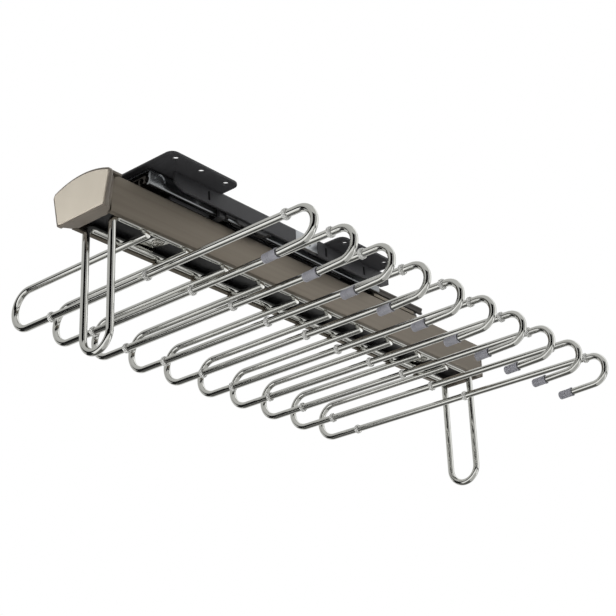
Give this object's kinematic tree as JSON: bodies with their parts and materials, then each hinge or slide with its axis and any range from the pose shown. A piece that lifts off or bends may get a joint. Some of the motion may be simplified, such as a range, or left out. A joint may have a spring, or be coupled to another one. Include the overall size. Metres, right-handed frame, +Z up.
{
  "type": "pull out trouser rack",
  "caption": "Under-shelf pull-out trouser rack: S-shaped chrome arms with soft tips along a bronze beam on a flat ball-bearing slide, held by two black steel brackets.",
  "frame": {"origin": "middle of the front bracket's top face, which lies against the underside of the shelf", "axes": "+Z up, out of the shelf face; +Y towards the back of the cupboard, so the rack is pulled out along -Y; +X towards the arms' open hooked ends"},
  "size_m": [0.304, 0.4598, 0.1487],
  "materials": {
    "black_steel": "matt black powder coat",
    "zinc_steel": "bright zinc plate",
    "dark_steel": "dark zinc plate",
    "bronze": "satin bronze anodised",
    "bronze_plastic": "satin bronze-brown",
    "beige_plastic": "satin warm beige",
    "black_plastic": "matt black",
    "chrome": "polished chrome plate",
    "grey_rubber": "matt grey"
  },
  "bodies": {
    "shelf_mount": {"front_bracket": "black_steel", "rear_bracket": "black_steel", "joiner_channel": "zinc_steel", "slide_outer_member": "zinc_steel", "slide_screw_1": "zinc_steel", "slide_screw_2": "zinc_steel", "slide_screw_3": "zinc_steel", "slide_screw_4": "zinc_steel", "soft_close_housing": "black_plastic", "soft_close_catch": "black_plastic"},
    "middle_stage": {"slide_middle_member": "dark_steel"},
    "outer_cage_right": {"outer_ball_cage_right": "zinc_steel"},
    "outer_cage_left": {"outer_ball_cage_left": "zinc_steel"},
    "inner_cage_right": {"inner_ball_cage_right": "zinc_steel"},
    "inner_cage_left": {"inner_ball_cage_left": "zinc_steel"},
    "beam": {"slide_inner_member": "dark_steel", "front_spacer": "black_plastic", "front_spacer_screw": "zinc_steel", "rear_spacer": "bronze", "rear_spacer_screw": "zinc_steel", "beam_core": "black_steel", "side_rail_right": "bronze", "side_rail_left": "bronze", "front_cap_body": "bronze_plastic", "front_cap_face": "beige_plastic", "rear_cap": "bronze_plastic", "soft_close_trigger": "black_plastic", "wire_frame": "chrome", "front_cross_plate": "chrome", "front_cross_screw": "zinc_steel", "rear_cross_plate": "chrome", "rear_cross_screw": "zinc_steel", "arm_01": "chrome", "tip_cap_01": "grey_rubber", "arm_02": "chrome", "tip_cap_02": "grey_rubber", "arm_03": "chrome", "tip_cap_03": "grey_rubber", "arm_04": "chrome", "tip_cap_04": "grey_rubber", "arm_05": "chrome", "tip_cap_05": "grey_rubber", "arm_06": "chrome", "tip_cap_06": "grey_rubber", "arm_07": "chrome", "tip_cap_07": "grey_rubber", "arm_08": "chrome", "tip_cap_08": "grey_rubber", "arm_09": "chrome", "tip_cap_09": "grey_rubber", "arm_10": "chrome", "tip_cap_10": "grey_rubber"}
  },
  "joints": [
    {"name": "middle_slide", "type": "slide", "parent": "shelf_mount", "child": "middle_stage", "axis": [0, -1, 0], "range_m": [0, 0.17]},
    {"name": "beam_slide", "type": "slide", "parent": "middle_stage", "child": "beam", "axis": [0, -1, 0], "range_m": [0, 0.17]},
    {"name": "outer_cage_right_roll", "type": "slide", "parent": "shelf_mount", "child": "outer_cage_right", "axis": [0, -1, 0], "range_m": [0, 0.085]},
    {"name": "outer_cage_left_roll", "type": "slide", "parent": "shelf_mount", "child": "outer_cage_left", "axis": [0, -1, 0], "range_m": [0, 0.085]},
    {"name": "inner_cage_right_roll", "type": "slide", "parent": "middle_stage", "child": "inner_cage_right", "axis": [0, -1, 0], "range_m": [0, 0.085]},
    {"name": "inner_cage_left_roll", "type": "slide", "parent": "middle_stage", "child": "inner_cage_left", "axis": [0, -1, 0], "range_m": [0, 0.085]}
  ],
  "couplings": [
    {"joint": "middle_slide", "follows": "beam_slide", "ratio": 1},
    {"joint": "outer_cage_right_roll", "follows": "beam_slide", "ratio": 0.5},
    {"joint": "outer_cage_left_roll", "follows": "beam_slide", "ratio": 0.5},
    {"joint": "inner_cage_right_roll", "follows": "beam_slide", "ratio": 0.5},
    {"joint": "inner_cage_left_roll", "follows": "beam_slide", "ratio": 0.5}
  ]
}
